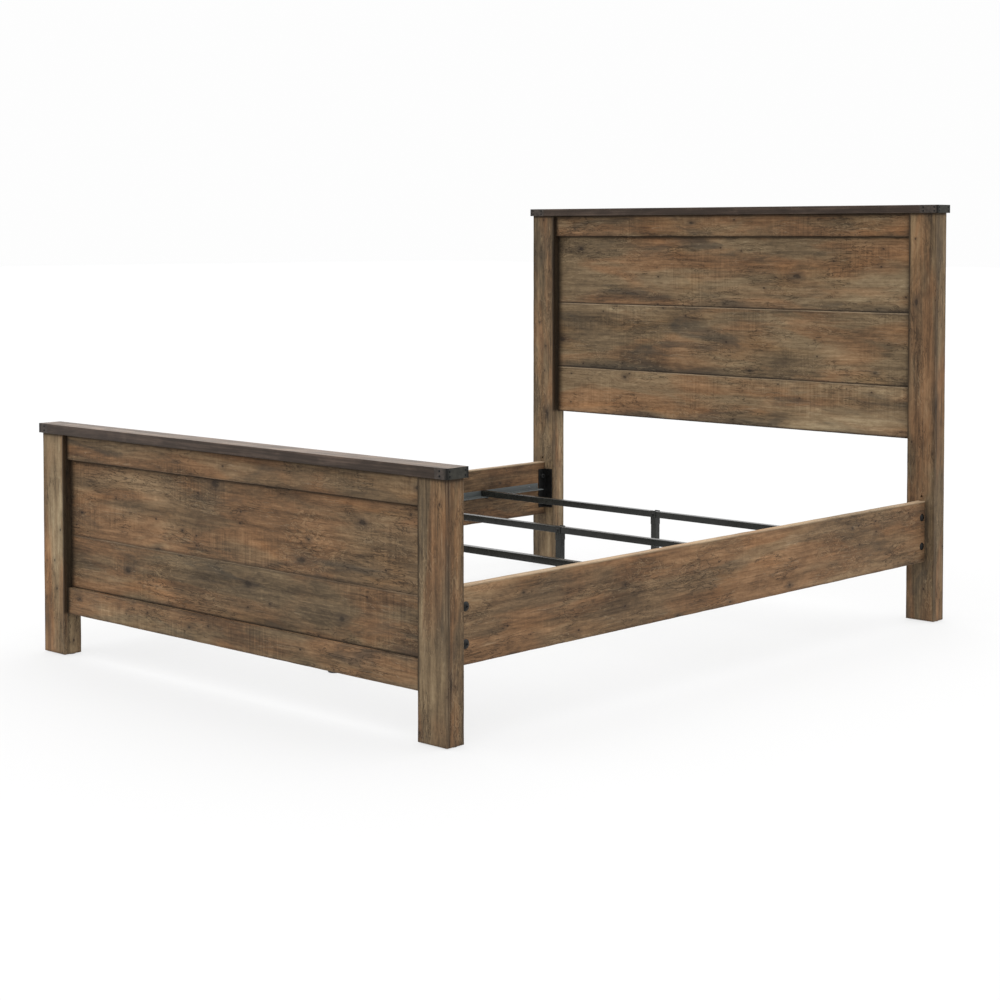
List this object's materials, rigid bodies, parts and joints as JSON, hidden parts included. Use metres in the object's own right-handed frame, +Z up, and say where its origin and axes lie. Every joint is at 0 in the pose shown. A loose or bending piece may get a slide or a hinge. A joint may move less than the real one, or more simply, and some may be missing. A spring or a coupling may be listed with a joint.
{
  "type": "bed frame",
  "caption": "Wooden panel bed frame with a tall headboard, a low footboard, side rails, and steel cross bars on levelling legs.",
  "frame": {"origin": "on the floor, at the middle of the bed's outline", "axes": "+X to the right when seen from the foot, +Y from the footboard to the headboard, +Z up"},
  "size_m": [1.6988, 2.2078, 1.3],
  "materials": {
    "cap_wood": "satin",
    "strap_steel": "satin, aged",
    "black_hardware": "satin",
    "bracket_steel": "satin",
    "zinc_hardware": "satin",
    "ledger_steel": "satin",
    "tube_steel": "satin",
    "black_plastic": "matte",
    "dowel_wood": "raw",
    "batten_wood": "raw",
    "post_wood": "rough-sawn, matte",
    "plank_wood": "rough-sawn, matte",
    "side_rail_wood": "rough-sawn, matte",
    "panel_rail_wood": "rough-sawn, matte"
  },
  "bodies": {
    "bed_frame": {"head_post_left": "post_wood", "head_post_right": "post_wood", "head_post_face_left": "post_wood", "head_post_face_right": "post_wood", "foot_post_left": "post_wood", "foot_post_right": "post_wood", "foot_post_face_left": "post_wood", "foot_post_face_right": "post_wood", "head_top_rail": "panel_rail_wood", "head_plank_upper": "plank_wood", "head_plank_middle": "plank_wood", "head_plank_lower": "plank_wood", "head_batten_left": "batten_wood", "head_batten_middle": "batten_wood", "head_batten_right": "batten_wood", "head_cap": "cap_wood", "head_cap_strap_left": "strap_steel", "head_cap_strap_right": "strap_steel", "foot_top_rail": "panel_rail_wood", "foot_bottom_rail": "panel_rail_wood", "foot_plank_upper": "plank_wood", "foot_plank_lower": "plank_wood", "foot_batten_left": "batten_wood", "foot_batten_middle": "batten_wood", "foot_batten_right": "batten_wood", "foot_cap": "cap_wood", "foot_cap_strap_left": "strap_steel", "foot_cap_strap_right": "strap_steel", "strap_nails": "black_hardware", "side_rail_left": "side_rail_wood", "side_rail_right": "side_rail_wood", "ledger_left": "ledger_steel", "ledger_right": "ledger_steel", "head_bracket_left": "bracket_steel", "head_bracket_right": "bracket_steel", "foot_bracket_left": "bracket_steel", "foot_bracket_right": "bracket_steel", "cross_bar_1": "tube_steel", "cross_bar_2": "tube_steel", "cross_bar_3": "tube_steel", "cross_bar_4": "tube_steel", "bar_end_plugs": "black_plastic", "centre_leg_1": "tube_steel", "centre_leg_2": "tube_steel", "centre_leg_3": "tube_steel", "centre_leg_4": "tube_steel", "leg_plugs": "black_plastic", "post_glides": "black_plastic", "dowels": "dowel_wood", "panel_screws": "zinc_hardware", "ledger_screws": "zinc_hardware", "rail_bolts": "black_hardware", "post_lag_screws": "black_hardware", "bar_bolts": "zinc_hardware", "leg_bolts": "black_hardware", "nuts": "zinc_hardware"},
    "foot_body_1": {"levelling_foot_1": "black_plastic"},
    "foot_body_2": {"levelling_foot_2": "black_plastic"},
    "foot_body_3": {"levelling_foot_3": "black_plastic"},
    "foot_body_4": {"levelling_foot_4": "black_plastic"}
  },
  "joints": [
    {"name": "levelling_foot_1_screw", "type": "slide", "parent": "bed_frame", "child": "foot_body_1", "axis": [0, 0, 1], "range_m": [-0.01, 0.014]},
    {"name": "levelling_foot_2_screw", "type": "slide", "parent": "bed_frame", "child": "foot_body_2", "axis": [0, 0, 1], "range_m": [-0.01, 0.014]},
    {"name": "levelling_foot_3_screw", "type": "slide", "parent": "bed_frame", "child": "foot_body_3", "axis": [0, 0, 1], "range_m": [-0.01, 0.014]},
    {"name": "levelling_foot_4_screw", "type": "slide", "parent": "bed_frame", "child": "foot_body_4", "axis": [0, 0, 1], "range_m": [-0.01, 0.014]}
  ]
}
